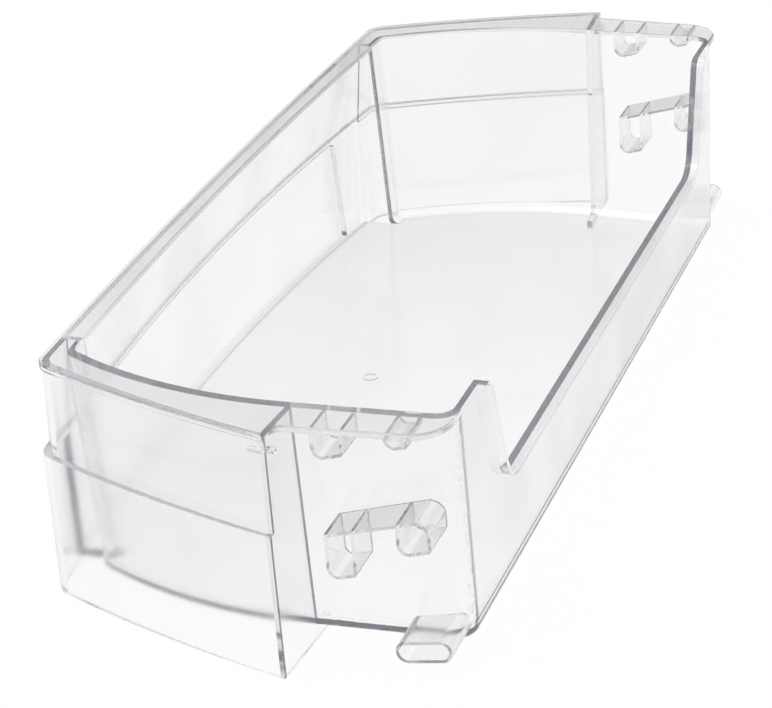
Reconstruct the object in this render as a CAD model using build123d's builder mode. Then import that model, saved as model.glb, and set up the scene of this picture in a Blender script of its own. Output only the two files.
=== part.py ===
from build123d import *
import os

# Overall sizes of the shelf, in millimetres. X runs along the door, -Y is the front, +Z is up.
HEIGHT = 95.0
WALL = 2.3
FLOOR = 2.5
RIM = 2.3

# Plan of the tub's inner faces at the rim: half length at the returns, then how far the back corners and the
# nose corners are set in from it, and reaches measured from the back of the returns. The end and front walls
# draw in towards the floor, the back wall is upright, and the underside stays clear of the standing plane.
END_HALF = 185.0
BACK_SET = 2.5
BACK_REACH = 56.5
BACK_RUN = 10.0
BACK_R = 6.0
NOSE_SET = 22.0
NOSE_REACH = 92.0
NOSE_R = 5.0
NOSE_BOW = 5.0
DRAFT = 2.4
TUB_Z = 3.5
FLOOR_R = 4.0
FOOT_R = 4.5
RIM_EDGE = 0.6

# Plan of the shell at three heights: how far it lies outside the end wall at the returns and outside the nose
# corner, then how far its own corner and its bowed front lie in front of the nose corner.
RIM_LEVEL = (25.0, 12.3, 9.5, 13.2)
STEP_LEVEL = (26.5, 11.5, 13.0, 24.0)
BASE_LEVEL = (26.5, 12.5, 13.5, 26.5)
SIDE_BOW = 2.6
CORNER_R = 10.0

# Returns: they slant back towards the tub and run on a little way under it.
RETURN_SLANT = 1.6
RETURN_RUN = 12.0

# Step round the outside: the upper band is set in behind the lower band and the rim overhangs it.
BAND_TOP = 57.0
STEP = 2.2
RIM_OVERHANG = 1.0
STEP_DROP = 1.2

# Webs that close the front of the tub, set in from its nose, and the shallow panel between them.
WEB_SET = 11.0
PANEL_SET_TOP = 24.0
PANEL_SET_LOW = 17.0
PANEL_R = 4.0

# Cut-away in the back wall, its sides set in from the back corners, and the lip that runs round it.
CUT_Z = 47.5
CUT_SET_LOW = 43.8
CUT_SET_TOP = 28.7
CUT_R = 12.0
CUT_TOP_R = 6.0
LIP_T = 2.0
LIP = 3.2

# Ledge on top of each end wall behind the return, with its width at front and back.
LEDGE = 17.0
LEDGE_BACK = 15.9
LEDGE_R = 14.0
LEDGE_ROOT_R = 4.0

# Hook loops on the end walls: front and back, measured backwards from the returns, then the depth under the
# rim of the top loops and the lowest point of the middle loops.
HOOK = 15.0
RIB = 1.2
RISE = 0.27
LOOP_FRONT_R = 4.0
LOOP_BACK_R = 1.8
TOP_FRONT_LOOP = (12.6, 24.4, 11.2)
TOP_BACK_LOOP = (38.8, 47.6, 4.7)
MID_FRONT_LOOP = (14.3, 25.4, 35.0)
MID_BACK_LOOP = (40.6, 53.0, 47.5)
PLATE_Z = 53.3
PLATE_R = 5.0

# Hollow oblong boss low on each end wall.
BOSS_REACH = 47.5
BOSS_Z = 10.9
BOSS_LONG = 21.0
BOSS_HIGH = 8.5
BOSS_TILT = 9.0

# Small locating peg through each return, set in from the rim's end and down from its underside.
PEG_R = 1.3
PEG_SET = 4.4
PEG_DROP = 5.0
PEG_FRONT = 7.4
PEG_BACK = 2.4

# Ring left on the floor by the moulding gate.
GATE_REACH = 45.0
GATE_R = 3.2
GATE_T = 0.8
GATE_H = 0.4

# Positions tied to the sizes above. The origin is midway between the bowed front and the back lip.
RETURN_Y = (NOSE_REACH + BASE_LEVEL[3] - BACK_REACH - WALL - LIP) / 2
BACK_Y = RETURN_Y + BACK_REACH
NOSE_Y = RETURN_Y - NOSE_REACH
RIM_UNDER = HEIGHT - RIM
FLOOR_TOP = TUB_Z + FLOOR
STEP_IN = BAND_TOP - STEP_DROP
UPPER_IN = -STEP - WALL
RIM_IN = -RIM_OVERHANG - WALL
FRONT_ZONE = 2 * (BASE_LEVEL[3] + CORNER_R)
RETURN_END = RETURN_Y + 2 * RETURN_SLANT
BACK_HALF = END_HALF - BACK_SET
NOSE_HALF = END_HALF - NOSE_SET
RETURN_HALF = END_HALF - RETURN_RUN
WEB_HALF = NOSE_HALF - WEB_SET
PANEL_HALF_TOP = WEB_HALF - PANEL_SET_TOP
PANEL_HALF_LOW = WEB_HALF - PANEL_SET_LOW
CUT_HALF_LOW = BACK_HALF - CUT_SET_LOW
CUT_HALF_TOP = BACK_HALF - CUT_SET_TOP
LEDGE_HALF = END_HALF + LEDGE
LEDGE_BACK_HALF = BACK_HALF + LEDGE_BACK
HOOK_END = END_HALF + HOOK
PEG_HALF = END_HALF + RIM_LEVEL[0] - PEG_SET
PEG_Z = RIM_UNDER - PEG_DROP
BLOCK = 4 * HEIGHT
NEAR = WALL / 10


def shell_plan(level, grow, z):
    """Plan of the shell at height z, moved outwards by grow, run on behind the returns."""
    half = END_HALF + level[0]
    corner_half = NOSE_HALF + level[1]
    corner = (corner_half + grow, NOSE_Y - level[2] - grow)
    side_mid = ((half + corner_half) / 2 + SIDE_BOW + grow, (RETURN_Y + corner[1]) / 2)
    with BuildSketch(Plane.XY.offset(z)) as plan:
        with BuildLine():
            Polyline((0, RETURN_END), (half + grow, RETURN_END), (half + grow, RETURN_Y))
            ThreePointArc((half + grow, RETURN_Y), side_mid, corner)
            TangentArc((0, NOSE_Y - level[3] - grow), corner, tangent=(1, 0))
            mirror(about=Plane.YZ)
        make_face()
        fillet(plan.vertices().filter_by(lambda v: abs(v.Y - corner[1]) < NEAR), CORNER_R + grow)
    return plan.sketch.face()


def shell_body(low_face, top_face):
    """Ruled body between two plans of the shell."""
    with BuildPart() as body:
        loft([low_face, top_face], ruled=True)
    return body.part


def return_space(forward):
    """Space behind the right return's slanting face, that face moved forwards by forward."""
    outer_half = END_HALF + RIM_LEVEL[0] - 2 * RIM_OVERHANG
    far_half = 2 * outer_half - RETURN_HALF
    slant = RETURN_SLANT * (outer_half - RETURN_HALF) / (outer_half - END_HALF)
    near_y = RETURN_Y + slant - forward
    far_y = RETURN_Y - slant - forward
    with BuildSketch() as plan:
        Polygon((RETURN_HALF, near_y), (far_half, far_y), (far_half, BACK_Y), (RETURN_HALF, BACK_Y), align=None)
        mirror(about=Plane.YZ)
    return plan.sketch


def tub_plan(grow):
    """Plan of the tub's inner faces at the rim, moved outwards by grow and run on behind the back wall."""
    slope = (END_HALF - BACK_HALF) / BACK_REACH
    back_corner = (BACK_HALF - slope * BACK_RUN + grow, BACK_Y + BACK_RUN)
    nose = (NOSE_HALF + grow, NOSE_Y - grow)
    with BuildSketch(Plane.XY.offset(HEIGHT)) as plan:
        with BuildLine():
            Line((0, back_corner[1]), back_corner)
            wall = Line(back_corner, (END_HALF + grow, RETURN_Y))
            TangentArc(wall @ 1, nose, tangent=wall % 1)
            TangentArc((0, NOSE_Y - NOSE_BOW - grow), nose, tangent=(1, 0))
            mirror(about=Plane.YZ)
        make_face()
        fillet(plan.vertices().filter_by(lambda v: abs(v.Y - nose[1]) < NEAR), NOSE_R + grow)
    return plan.sketch


def tub_body(grow, low_z, low_r):
    """Block inside the tub's faces moved outwards by grow, from the rim to low_z, its low edges rounded."""
    with BuildPart() as body:
        extrude(tub_plan(grow), amount=low_z - HEIGHT, taper=DRAFT)
        split(bisect_by=Plane.XZ.offset(-BACK_Y - grow), keep=Keep.TOP)
        fillet(body.faces().sort_by(Axis.Y)[-1].edges().group_by(Axis.Z)[1], BACK_R + grow)
        fillet(body.edges().group_by(Axis.Z)[0], low_r)
    return body.part


def cut_plan(grow):
    """Outline of the back cut-away on the back wall, grown outwards and downwards by grow."""
    slope = (CUT_HALF_TOP - CUT_HALF_LOW) / (HEIGHT - CUT_Z)
    low = CUT_HALF_LOW + grow * (1 - slope)
    top = CUT_HALF_TOP + grow
    over = HEIGHT + 2 * CUT_TOP_R
    flare = top + 2 * CUT_TOP_R
    with BuildSketch(Plane.XZ.offset(-BACK_Y)) as plan:
        Polygon((-top, HEIGHT), (-low, CUT_Z - grow), (low, CUT_Z - grow), (top, HEIGHT), (flare, HEIGHT),
                (flare, over), (-flare, over), (-flare, HEIGHT), align=None)
        fillet(plan.vertices().sort_by(Axis.Y)[:2], CUT_R + grow)
        fillet(plan.vertices().filter_by(lambda v: abs(abs(v.X) - top) < NEAR), CUT_TOP_R)
    return plan.sketch


def plate_z(reach):
    """Height of the slanting plate's top, reach behind the return."""
    return PLATE_Z + RISE * (reach - MID_FRONT_LOOP[0])


def loop_plan(loop, low, top_front, top_back, crown):
    """Section of one hook loop from low to the line from top_front to top_back, its back top rounded by crown."""
    front, back = loop[:2]
    rise = RISE * (back - front)
    with BuildSketch(Plane.YZ.offset(NOSE_HALF)) as plan:
        Polygon((RETURN_Y + front, top_front), (RETURN_Y + front, low), (RETURN_Y + back, low + rise),
                (RETURN_Y + back, top_back), align=None)
        fillet(plan.vertices().sort_by(Axis.Y)[0], LOOP_FRONT_R)
        fillet(plan.vertices().group_by(Axis.X)[-1].sort_by(Axis.Y)[0], LOOP_BACK_R)
        fillet(plan.vertices().group_by(Axis.X)[-1].sort_by(Axis.Y)[-1], crown)
        offset(amount=-RIB, kind=Kind.INTERSECTION, mode=Mode.SUBTRACT)
    return plan.sketch


# Top plate: the rim over the shell and the ledges behind the returns, in one piece.
with BuildSketch(Plane.XY.offset(RIM_UNDER)) as top_plate:
    add(shell_plan(RIM_LEVEL, 0, RIM_UNDER))
    add(return_space(0), mode=Mode.SUBTRACT)
    Polygon((-LEDGE_HALF, RETURN_Y), (LEDGE_HALF, RETURN_Y), (LEDGE_BACK_HALF, BACK_Y + WALL),
            (-LEDGE_BACK_HALF, BACK_Y + WALL), align=None)
    fillet(top_plate.vertices().filter_by(lambda v: v.Y > BACK_Y), LEDGE_R)
    fillet(top_plate.vertices().filter_by(lambda v: abs(abs(v.X) - LEDGE_HALF) < NEAR), LEDGE_ROOT_R)
with BuildPart() as plate_body:
    extrude(top_plate.sketch, amount=RIM)
    chamfer(plate_body.faces().sort_by(Axis.Z)[-1].outer_wire().edges(), RIM_EDGE)

# Outside of the shell: the proud lower band and the upper band that leans back to the rim.
lower_band = shell_body(shell_plan(BASE_LEVEL, 0, 0), shell_plan(STEP_LEVEL, 0, BAND_TOP))
upper_band = shell_body(shell_plan(STEP_LEVEL, -STEP, BAND_TOP), shell_plan(RIM_LEVEL, -RIM_OVERHANG, RIM_UNDER))

# Inside of the shell: a plain face set in by the step, and a deeper one behind the proud band.
upper_in = shell_body(shell_plan(STEP_LEVEL, UPPER_IN, BAND_TOP), shell_plan(RIM_LEVEL, RIM_IN, RIM_UNDER))
plain_in = shell_body(shell_plan(BASE_LEVEL, UPPER_IN, 0), shell_plan(STEP_LEVEL, UPPER_IN, BAND_TOP))
deep_in = shell_body(shell_plan(BASE_LEVEL, -WALL, 0), shell_plan(STEP_LEVEL, -WALL, BAND_TOP))

# Outside and inside of the tub.
tub = tub_body(WALL, TUB_Z, FOOT_R)
hollow = tub_body(0, FLOOR_TOP, FLOOR_R)

# Spaces behind and in front of the returns, and the space under the tub inside the skirts.
return_back = return_space(0)
return_front = return_space(WALL)
with BuildPart() as behind:
    extrude(return_back, amount=RIM_UNDER)
with BuildPart() as under:
    add(deep_in)
    split(bisect_by=Plane.XY.offset(TUB_Z), keep=Keep.BOTTOM)
    extrude(return_front, amount=TUB_Z, mode=Mode.SUBTRACT)

# Space under the rim between the webs, out to the front wall.
with BuildPart() as front_hollow:
    add(upper_in)
    add(plain_in)
    with Locations((0, NOSE_Y, FLOOR_TOP)):
        Box(2 * WEB_HALF, FRONT_ZONE, BLOCK, align=(Align.CENTER, Align.CENTER, Align.MIN), mode=Mode.INTERSECT)

# Shallow panel sunk into the front wall behind the proud band.
with BuildSketch(Plane.XZ.offset(-NOSE_Y)) as panel_face:
    Polygon((-PANEL_HALF_LOW, FLOOR_TOP), (PANEL_HALF_LOW, FLOOR_TOP), (PANEL_HALF_TOP, STEP_IN),
            (-PANEL_HALF_TOP, STEP_IN), align=None)
    fillet(panel_face.vertices().sort_by(Axis.Y)[2:], PANEL_R)
with BuildPart() as panel:
    add(deep_in)
    extrude(panel_face.sketch, amount=FRONT_ZONE, mode=Mode.INTERSECT)

# Wing pockets between skirt and end wall, open below and closed by the rim, web and return.
with BuildPart() as pockets:
    add(deep_in)
    split(bisect_by=Plane.XY.offset(STEP_IN), keep=Keep.BOTTOM)
    add(plain_in)
    add(upper_in)
    extrude(return_front, amount=HEIGHT, mode=Mode.SUBTRACT)
    Box(2 * (WEB_HALF + WALL), BLOCK * 2, BLOCK, mode=Mode.SUBTRACT)
    add(tub, mode=Mode.SUBTRACT)

# Hook loops, their plate, the lower boss and the peg of one end.
loop_top = RIM_UNDER + RIB
top_front = loop_plan(TOP_FRONT_LOOP, RIM_UNDER - TOP_FRONT_LOOP[2], loop_top, loop_top, RIM_EDGE)
top_back = loop_plan(TOP_BACK_LOOP, RIM_UNDER - TOP_BACK_LOOP[2], loop_top, loop_top, RIM_EDGE)
mid_front = loop_plan(MID_FRONT_LOOP, MID_FRONT_LOOP[2], plate_z(MID_FRONT_LOOP[0]), plate_z(MID_FRONT_LOOP[1]),
                      RIM_EDGE)
mid_back = loop_plan(MID_BACK_LOOP, MID_BACK_LOOP[2], plate_z(MID_BACK_LOOP[0]), plate_z(MID_BACK_LOOP[1]),
                     PLATE_R)
with BuildSketch(Plane.YZ.offset(NOSE_HALF)) as plate:
    left = MID_FRONT_LOOP[0]
    right = MID_BACK_LOOP[1] - 2 * RIB - PLATE_R / 2
    Polygon((RETURN_Y + left, plate_z(left) - RIB), (RETURN_Y + right, plate_z(right) - RIB),
            (RETURN_Y + right, plate_z(right)), (RETURN_Y + left, plate_z(left)), align=None)
with BuildSketch(Plane.YZ.offset(NOSE_HALF)) as boss:
    with Locations((RETURN_Y + BOSS_REACH, BOSS_Z)):
        SlotOverall(BOSS_LONG, BOSS_HIGH, rotation=BOSS_TILT)
        SlotOverall(BOSS_LONG - 2 * RIB, BOSS_HIGH - 2 * RIB, rotation=BOSS_TILT, mode=Mode.SUBTRACT)
with BuildSketch(Plane.XZ.offset(-RETURN_Y - PEG_BACK)) as peg:
    with Locations((PEG_HALF, PEG_Z)):
        Circle(PEG_R)
with BuildPart() as end_fittings:
    for section in (top_front, top_back, mid_front, mid_back, plate.sketch, boss.sketch):
        extrude(section, amount=HOOK_END - NOSE_HALF)
    extrude(peg.sketch, amount=PEG_FRONT + PEG_BACK)

# Lip round the cut-away in the back wall, and the space it frames.
lip_outer = cut_plan(LIP_T)
cut_face = cut_plan(0)
with BuildPart() as lip:
    extrude(lip_outer, amount=-(WALL + LIP))
    split(bisect_by=Plane.XY.offset(HEIGHT), keep=Keep.BOTTOM)
with BuildPart() as cut_away:
    extrude(cut_face, amount=-2 * (WALL + LIP), both=True)

# Ring of the moulding gate.
with BuildSketch(Plane.XY.offset(FLOOR_TOP)) as gate:
    with Locations((0, RETURN_Y - GATE_REACH)):
        Circle(GATE_R)
        Circle(GATE_R - GATE_T, mode=Mode.SUBTRACT)

# The whole moulding: blocks and fittings first, then every space taken out.
with BuildPart() as door_shelf:
    add(lower_band)
    add(upper_band)
    add(behind.part, mode=Mode.SUBTRACT)
    add(under.part, mode=Mode.SUBTRACT)
    add(tub)
    add(plate_body.part)
    add(lip.part)
    add(pockets.part, mode=Mode.SUBTRACT)
    add(end_fittings.part)
    add(end_fittings.part.mirror(Plane.YZ))
    add(hollow, mode=Mode.SUBTRACT)
    add(front_hollow.part, mode=Mode.SUBTRACT)
    add(panel.part, mode=Mode.SUBTRACT)
    add(cut_away.part, mode=Mode.SUBTRACT)
    extrude(gate.sketch, amount=GATE_H)

os.makedirs("parts", exist_ok=True)
door_shelf.part.label = "door_shelf"
export_step(door_shelf.part, "parts/door_shelf.step")
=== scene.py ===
import math
from contextlib import contextmanager

import bmesh
import bpy
import numpy as np
from mathutils import Matrix, Vector


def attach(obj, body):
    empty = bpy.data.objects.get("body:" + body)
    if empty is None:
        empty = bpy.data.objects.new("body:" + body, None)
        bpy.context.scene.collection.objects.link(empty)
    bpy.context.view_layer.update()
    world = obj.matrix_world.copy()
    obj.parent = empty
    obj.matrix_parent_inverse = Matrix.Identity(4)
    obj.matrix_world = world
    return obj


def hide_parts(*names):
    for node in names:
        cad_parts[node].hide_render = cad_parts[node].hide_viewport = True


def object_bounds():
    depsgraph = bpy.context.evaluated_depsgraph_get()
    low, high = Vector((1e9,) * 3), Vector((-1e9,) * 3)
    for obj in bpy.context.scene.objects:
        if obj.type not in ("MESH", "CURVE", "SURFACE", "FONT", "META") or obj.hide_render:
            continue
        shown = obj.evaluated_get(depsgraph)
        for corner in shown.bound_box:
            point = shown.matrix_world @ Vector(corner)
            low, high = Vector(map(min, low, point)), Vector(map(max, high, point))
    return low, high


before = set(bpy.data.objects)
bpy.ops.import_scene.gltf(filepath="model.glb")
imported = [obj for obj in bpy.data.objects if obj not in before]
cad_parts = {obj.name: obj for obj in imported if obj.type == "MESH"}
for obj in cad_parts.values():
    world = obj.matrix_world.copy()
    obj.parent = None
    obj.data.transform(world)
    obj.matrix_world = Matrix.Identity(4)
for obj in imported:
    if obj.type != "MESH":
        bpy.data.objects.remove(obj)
cad_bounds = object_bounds()

# Viewpoint worked out from mirror pairs and upright edges in the photograph: turn and height of the line
# of sight and roll of the picture in degrees, distance and picture offset in metres, focal length and
# width of the picture in pixels, width of the sensor in millimetres.
VIEW_TURN, VIEW_RISE, VIEW_ROLL = 111.747, 26.470, -4.723
VIEW_DISTANCE, VIEW_RIGHT, VIEW_UP = 1.0883, 0.00973, -0.01647
FOCAL_PIXELS, PICTURE_WIDTH, SENSOR = 2611.0, 772.0, 36.0

# Clear plastic: refraction, haze that changes over patches of a few centimetres, absorption inside, and a
# painted shade in the base colour of faces seen nearly edge on, standing in for dark edges, with the share
# of turning away at which it starts.
WHITE = (1.0, 1.0, 1.0, 1.0)
PLASTIC_IOR = 1.5
POLISH_SCALE, POLISH_DETAIL, POLISH_RANGE = 30.0, 0.0, (0.3, 0.7)
HAZE_RANGE = (0.11, 0.15)
ABSORB_COLOUR, ABSORB_DENSITY = (0.80, 0.81, 0.84, 1.0), 24.0
GRAZE_BLEND, GRAZE_FROM, GRAZE_PAINTED_SHADE = 0.5, 0.82, (0.30, 0.30, 0.34, 1.0)

# Edges: distance at which points are merged, angle under which faces count as flat and over which an edge
# is sharp, and the rounding of the sharp edges on the standing plane and on top of the rim.
MERGE = 1e-6
FLAT, SHARP = math.radians(0.3), math.radians(32.0)
FOOT_ROUND, RIM_ROUND = 0.0010, 0.0005
ROUND_STEPS, ROUND_PROFILE = 3, 0.5

# Front of the shelf, in metres, as in the part: the back of the returns, then at three heights the half
# length at the front corner, and how far that corner and the bow's middle reach ahead of the returns' back;
# heights of the shelf and of its lower band, and thickness of the rim; set-backs of the upper band at the
# step and at the rim, and thickness of the wall.
RETURN_Y = 0.02825
RIM_LEVEL = (0.1753, 0.1015, 0.1052)
STEP_LEVEL = (0.1745, 0.105, 0.116)
BASE_LEVEL = (0.1755, 0.1055, 0.1185)
HEIGHT, BAND_TOP, RIM = cad_bounds[1][2], 0.057, 0.0023
STEP, OVERHANG, WALL = 0.0022, 0.001, 0.0023
RIM_UNDER = HEIGHT - RIM

# Bowed front faces, each by its low level, offset outwards and height there, then the same at its top: the
# outside of the lower band, the outside and inside of the upper band, the lower band's plain inside, and the
# deeper inside of the panel and the pockets.
FRONT_FACES = (
    (BASE_LEVEL, 0.0, 0.0, STEP_LEVEL, 0.0, BAND_TOP),
    (STEP_LEVEL, -STEP, BAND_TOP, RIM_LEVEL, -OVERHANG, RIM_UNDER),
    (STEP_LEVEL, -STEP - WALL, BAND_TOP, RIM_LEVEL, -OVERHANG - WALL, RIM_UNDER),
    (BASE_LEVEL, -STEP - WALL, 0.0, STEP_LEVEL, -STEP - WALL, BAND_TOP),
    (BASE_LEVEL, -WALL, 0.0, STEP_LEVEL, -WALL, BAND_TOP),
)

# Limits of the bowed faces: half length, distance at which a point counts as lying on one, least share of
# the normal along Y; then the spacing of the grid they are cut into, and the tolerance of heights and cuts.
FRONT_HALF, FRONT_NEAR, FACING = 0.1665, 0.0004, 0.9
GRID, NEAR = 0.006, 1e-5

# Floor: half its width, its own grey, how much of it is lifted to white, and the gap above it.
FLOOR_HALF, FLOOR_GREY, FLOOR_LIFT, FLOOR_GAP = 6.0, 0.8, 0.985, 0.0002

# Room: sines of the angles above the horizon between which its dark band turns to white, the band's grey,
# the softbox's power in watts, its width, place and aim in metres, and how often light may be passed on.
BAND_LOW, BAND_HIGH, BAND_GREY = 0.30, 0.58, 0.28
LAMP_POWER, LAMP_SIZE = 12.0, 1.2
LAMP_AT, LAMP_AIM = Vector((0.5, -0.8, 1.5)), Vector((0.0, 0.0, 0.05))
BOUNCES = 64


def clear_plastic():
    """Clear plastic: full transmission, a haze that varies with a noise, a faint cool absorption that
    darkens long paths, and painted shade: a grey base colour on faces that turn away from the line of sight."""
    mat = bpy.data.materials.new("clear_plastic")
    mat.use_nodes = True
    nodes, links = mat.node_tree.nodes, mat.node_tree.links
    shader = nodes["Principled BSDF"]
    shader.inputs["IOR"].default_value = PLASTIC_IOR
    shader.inputs["Transmission Weight"].default_value = 1.0

    # Painted shade: faces seen nearly edge on get a grey base colour, which stands in for the dark lines
    # that refraction shows along edges.
    graze = nodes.new("ShaderNodeLayerWeight")
    graze.inputs["Blend"].default_value = GRAZE_BLEND
    painted_edge_shade = nodes.new("ShaderNodeValToRGB")
    clear, grey = painted_edge_shade.color_ramp.elements
    clear.position, clear.color = GRAZE_FROM, WHITE
    grey.position, grey.color = 1.0, GRAZE_PAINTED_SHADE
    links.new(graze.outputs["Facing"], painted_edge_shade.inputs["Fac"])
    links.new(painted_edge_shade.outputs["Color"], shader.inputs["Base Color"])

    where = nodes.new("ShaderNodeTexCoord")
    polish = nodes.new("ShaderNodeTexNoise")
    polish.inputs["Scale"].default_value = POLISH_SCALE
    polish.inputs["Detail"].default_value = POLISH_DETAIL
    haze = nodes.new("ShaderNodeMapRange")
    haze.inputs["From Min"].default_value, haze.inputs["From Max"].default_value = POLISH_RANGE
    haze.inputs["To Min"].default_value, haze.inputs["To Max"].default_value = HAZE_RANGE
    links.new(where.outputs["Object"], polish.inputs["Vector"])
    links.new(polish.outputs["Fac"], haze.inputs["Value"])
    links.new(haze.outputs["Result"], shader.inputs["Roughness"])

    absorb = nodes.new("ShaderNodeVolumeAbsorption")
    absorb.inputs["Color"].default_value = ABSORB_COLOUR
    absorb.inputs["Density"].default_value = ABSORB_DENSITY
    links.new(absorb.outputs["Volume"], nodes["Material Output"].inputs["Volume"])
    return mat


@contextmanager
def editing(mesh):
    """Opens a mesh for editing, and puts the result back into it."""
    work = bmesh.new()
    work.from_mesh(mesh)
    yield work
    work.to_mesh(mesh)
    work.free()


def read(items, name, width=1, kind=np.int32):
    """One property of all points, corners or faces of a mesh, as an array with one row for each."""
    values = np.empty(len(items) * width, kind)
    items.foreach_get(name, values)
    return values.reshape(-1, width) if width > 1 else values


def arc_y(level, grow, x):
    """Depth of one level's front arc at x: a circle about the middle plane through the bow's middle and the
    front corner, both moved outwards by grow."""
    corner_x, corner_reach, bow_reach = level
    half = corner_x + grow
    sag = bow_reach - corner_reach
    radius = (half * half + sag * sag) / (2 * sag)
    return RETURN_Y - bow_reach - grow + radius - np.sqrt(radius * radius - x * x)


def front_depth(points):
    """Depth of the first bowed front face that each point lies on, or NaN: at a share of the face's height,
    it is that share of the way along a straight line from the low level's arc to the top level's."""
    x, y, z = points.astype(float).T
    depth = np.full(len(points), np.nan)
    for low, low_grow, low_z, top, top_grow, top_z in FRONT_FACES:
        share = (z - low_z) / (top_z - low_z)
        face_y = (1 - share) * arc_y(low, low_grow, x) + share * arc_y(top, top_grow, x)
        inside = (np.abs(x) <= FRONT_HALF) & (z >= low_z - NEAR) & (z <= top_z + NEAR)
        on_face = inside & (np.abs(face_y - y) < FRONT_NEAR)
        depth = np.where(on_face & np.isnan(depth), face_y, depth)
    return depth


def bowed_faces(mesh):
    """True for each face of the mesh that faces along Y and has all its corners on a bowed front face."""
    on_front = ~np.isnan(front_depth(read(mesh.vertices, "co", 3, np.float32)))
    corners = on_front[read(mesh.loops, "vertex_index")]
    facing = np.abs(read(mesh.polygons, "normal", 3, np.float32)[:, 1]) > FACING
    return facing & np.logical_and.reduceat(corners, read(mesh.polygons, "loop_start"))


def true_front(mesh):
    """Cuts the bowed front faces along a square grid and sets their points on the true curved faces."""
    marks = mesh.attributes.new("bowed", "BOOLEAN", "FACE")
    marks.data.foreach_set("value", bowed_faces(mesh))
    across, upwards = int(FRONT_HALF / GRID), int(HEIGHT / GRID)
    with editing(mesh) as work:
        bowed = work.faces.layers.bool["bowed"]
        for axis, lines in ((0, range(-across, across + 1)), (2, range(1, upwards + 1))):
            for line in lines:
                faces = [f for f in work.faces if f[bowed]]
                parts = dict.fromkeys(part for f in faces for part in (f, *f.edges, *f.verts))
                at, normal = Vector(), Vector()
                at[axis], normal[axis] = line * GRID, 1.0
                bmesh.ops.bisect_plane(work, geom=list(parts), dist=NEAR, plane_co=at, plane_no=normal)
    mesh.attributes.remove(mesh.attributes["bowed"])

    points = read(mesh.vertices, "co", 3, np.float32)
    corners = np.repeat(bowed_faces(mesh), read(mesh.polygons, "loop_total"))
    moved = np.unique(read(mesh.loops, "vertex_index")[corners])
    points[moved, 1] = front_depth(points)[moved]
    mesh.vertices.foreach_set("co", points.ravel())


def round_edges(mesh):
    """Rounds the sharp edges that lie on the standing plane, and those on top of the rim."""
    with editing(mesh) as work:
        for height, amount in ((0.0, FOOT_ROUND), (HEIGHT, RIM_ROUND)):
            edges = [e for e in work.edges if all(abs(v.co.z - height) < NEAR for v in e.verts)
                     and e.calc_face_angle(0.0) > SHARP]
            bmesh.ops.bevel(work, geom=edges, offset=amount, offset_type="OFFSET", segments=ROUND_STEPS,
                            profile=ROUND_PROFILE, affect="EDGES", clamp_overlap=True)


def shelf_piece(node):
    """Copy of the CAD mesh, merged and with flat faces joined, so that its front and edges can be refined.

    Its normals follow the larger faces, so that a rounded edge doesn't tilt the walls beside it.
    """
    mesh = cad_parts[node].data.copy()
    mesh.name = node + "_look"
    with editing(mesh) as work:
        bmesh.ops.remove_doubles(work, verts=work.verts, dist=MERGE)
        bmesh.ops.dissolve_limit(work, angle_limit=FLAT, verts=work.verts, edges=work.edges)
    true_front(mesh)
    round_edges(mesh)
    mesh.materials.clear()
    mesh.materials.append(clear_plastic())
    if mesh.attributes.get("custom_normal"):
        mesh.attributes.remove(mesh.attributes["custom_normal"])
    mesh.shade_smooth()
    mesh.set_sharp_from_angle(angle=SHARP)
    piece = bpy.data.objects.new(node + "_look", mesh)
    bpy.context.scene.collection.objects.link(piece)
    even = piece.modifiers.new("even normals", "WEIGHTED_NORMAL")
    even.mode = "FACE_AREA"
    even.keep_sharp = True
    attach(piece, "root")
    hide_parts(node)


def ray_share(nodes, links):
    """1 for rays that show the background: from the camera, or mirrored or refracted on their way."""
    path = nodes.new("ShaderNodeLightPath")
    share = path.outputs["Is Camera Ray"]
    for kind in ("Is Glossy Ray", "Is Transmission Ray"):
        larger = nodes.new("ShaderNodeMath")
        larger.operation = "MAXIMUM"
        links.new(share, larger.inputs[0])
        links.new(path.outputs[kind], larger.inputs[1])
        share = larger.outputs[0]
    return share


def floor():
    """Plain pale floor, lifted nearly to white for the rays that show it, so that a faint shadow stays."""
    mat = bpy.data.materials.new("floor")
    mat.use_nodes = True
    nodes, links = mat.node_tree.nodes, mat.node_tree.links
    nodes.clear()
    out = nodes.new("ShaderNodeOutputMaterial")
    matt = nodes.new("ShaderNodeBsdfDiffuse")
    matt.inputs["Color"].default_value = (FLOOR_GREY, FLOOR_GREY, FLOOR_GREY, 1.0)
    white = nodes.new("ShaderNodeEmission")
    white.inputs["Color"].default_value = WHITE
    lift = nodes.new("ShaderNodeMath")
    lift.operation = "MULTIPLY"
    lift.inputs[1].default_value = FLOOR_LIFT
    mix = nodes.new("ShaderNodeMixShader")
    links.new(ray_share(nodes, links), lift.inputs[0])
    links.new(lift.outputs[0], mix.inputs["Fac"])
    links.new(matt.outputs[0], mix.inputs[1])
    links.new(white.outputs[0], mix.inputs[2])
    links.new(mix.outputs[0], out.inputs["Surface"])

    h, z = FLOOR_HALF, -FLOOR_GAP
    mesh = bpy.data.meshes.new("floor")
    mesh.from_pydata([(-h, -h, z), (h, -h, z), (h, h, z), (-h, h, z)], [], [(0, 1, 2, 3)])
    mesh.materials.append(mat)
    plane = bpy.data.objects.new("floor", mesh)
    bpy.context.scene.collection.objects.link(plane)


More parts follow.
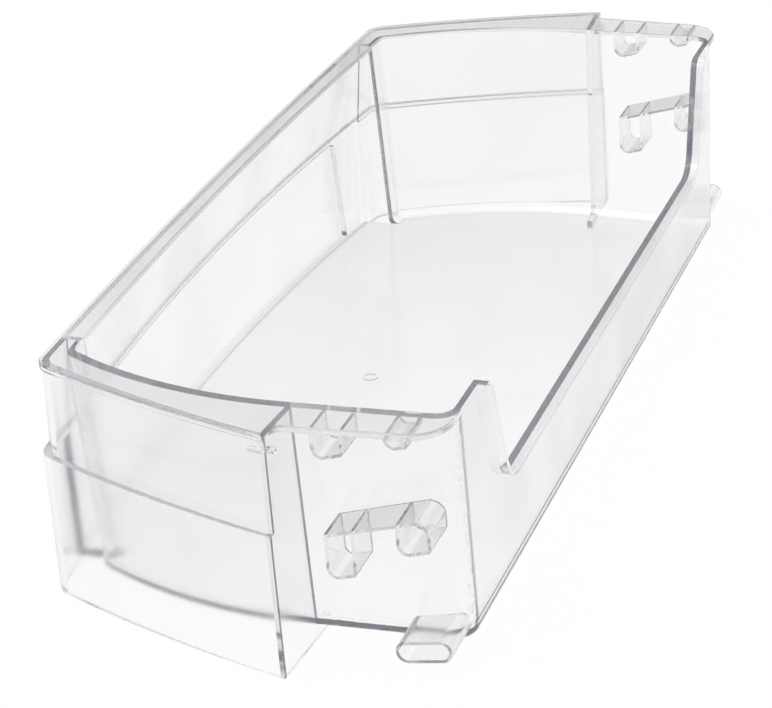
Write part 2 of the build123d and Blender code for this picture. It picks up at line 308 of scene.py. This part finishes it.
def studio():
    """White room with a dark band round it: white overhead, dark from the horizon up to the ceiling's edge.

    The floor fills the picture, so the room shows only where it is reflected or refracted. Its brightness
    runs from BAND_GREY below BAND_LOW (sine of the angle above the horizon) to white above BAND_HIGH.
    """
    world = bpy.data.worlds.new("studio")
    bpy.context.scene.world = world
    world.use_nodes = True
    nodes, links = world.node_tree.nodes, world.node_tree.links
    nodes.clear()
    out = nodes.new("ShaderNodeOutputWorld")
    where = nodes.new("ShaderNodeTexCoord")
    split = nodes.new("ShaderNodeSeparateXYZ")
    ramp = nodes.new("ShaderNodeMapRange")
    ramp.interpolation_type = "SMOOTHSTEP"
    ramp.inputs["From Min"].default_value = BAND_LOW
    ramp.inputs["From Max"].default_value = BAND_HIGH
    ramp.inputs["To Min"].default_value = BAND_GREY
    ramp.inputs["To Max"].default_value = 1.0
    room = nodes.new("ShaderNodeBackground")
    links.new(where.outputs["Generated"], split.inputs[0])
    links.new(split.outputs["Z"], ramp.inputs["Value"])
    links.new(ramp.outputs["Result"], room.inputs["Color"])
    links.new(room.outputs[0], out.inputs["Surface"])

    light = bpy.data.lights.new("softbox", "AREA")
    light.energy, light.size = LAMP_POWER, LAMP_SIZE
    lamp = bpy.data.objects.new("softbox", light)
    lamp.location = LAMP_AT
    lamp.rotation_euler = (LAMP_AIM - LAMP_AT).to_track_quat("-Z", "Y").to_euler()
    bpy.context.scene.collection.objects.link(lamp)


def camera():
    """Camera at the photograph's viewpoint: turned about Z, raised, rolled, and moved in the picture."""
    turn, rise, roll = (math.radians(angle) for angle in (VIEW_TURN, VIEW_RISE, VIEW_ROLL))
    back = Vector((math.sin(turn) * math.cos(rise), -math.cos(turn) * math.cos(rise), math.sin(rise)))
    right = Vector((0, 0, 1)).cross(back).normalized()
    up = back.cross(right)
    rolled_right = math.cos(roll) * right + math.sin(roll) * up
    rolled_up = math.cos(roll) * up - math.sin(roll) * right
    axes = Matrix((rolled_right, rolled_up, back)).transposed()
    place = axes @ Vector((-VIEW_RIGHT, -VIEW_UP, VIEW_DISTANCE))
    lens = bpy.data.cameras.new("photo")
    lens.sensor_width = SENSOR
    lens.lens = FOCAL_PIXELS / PICTURE_WIDTH * SENSOR
    cam = bpy.data.objects.new("photo", lens)
    cam.matrix_world = Matrix.Translation(place) @ axes.to_4x4()
    bpy.context.scene.collection.objects.link(cam)
    bpy.context.scene.camera = cam


shelf_piece("door_shelf")
floor()
studio()
camera()
scene = bpy.context.scene
scene.view_settings.view_transform = "Standard"
scene.cycles.max_bounces = BOUNCES
scene.cycles.transmission_bounces = BOUNCES
scene.cycles.glossy_bounces = BOUNCES
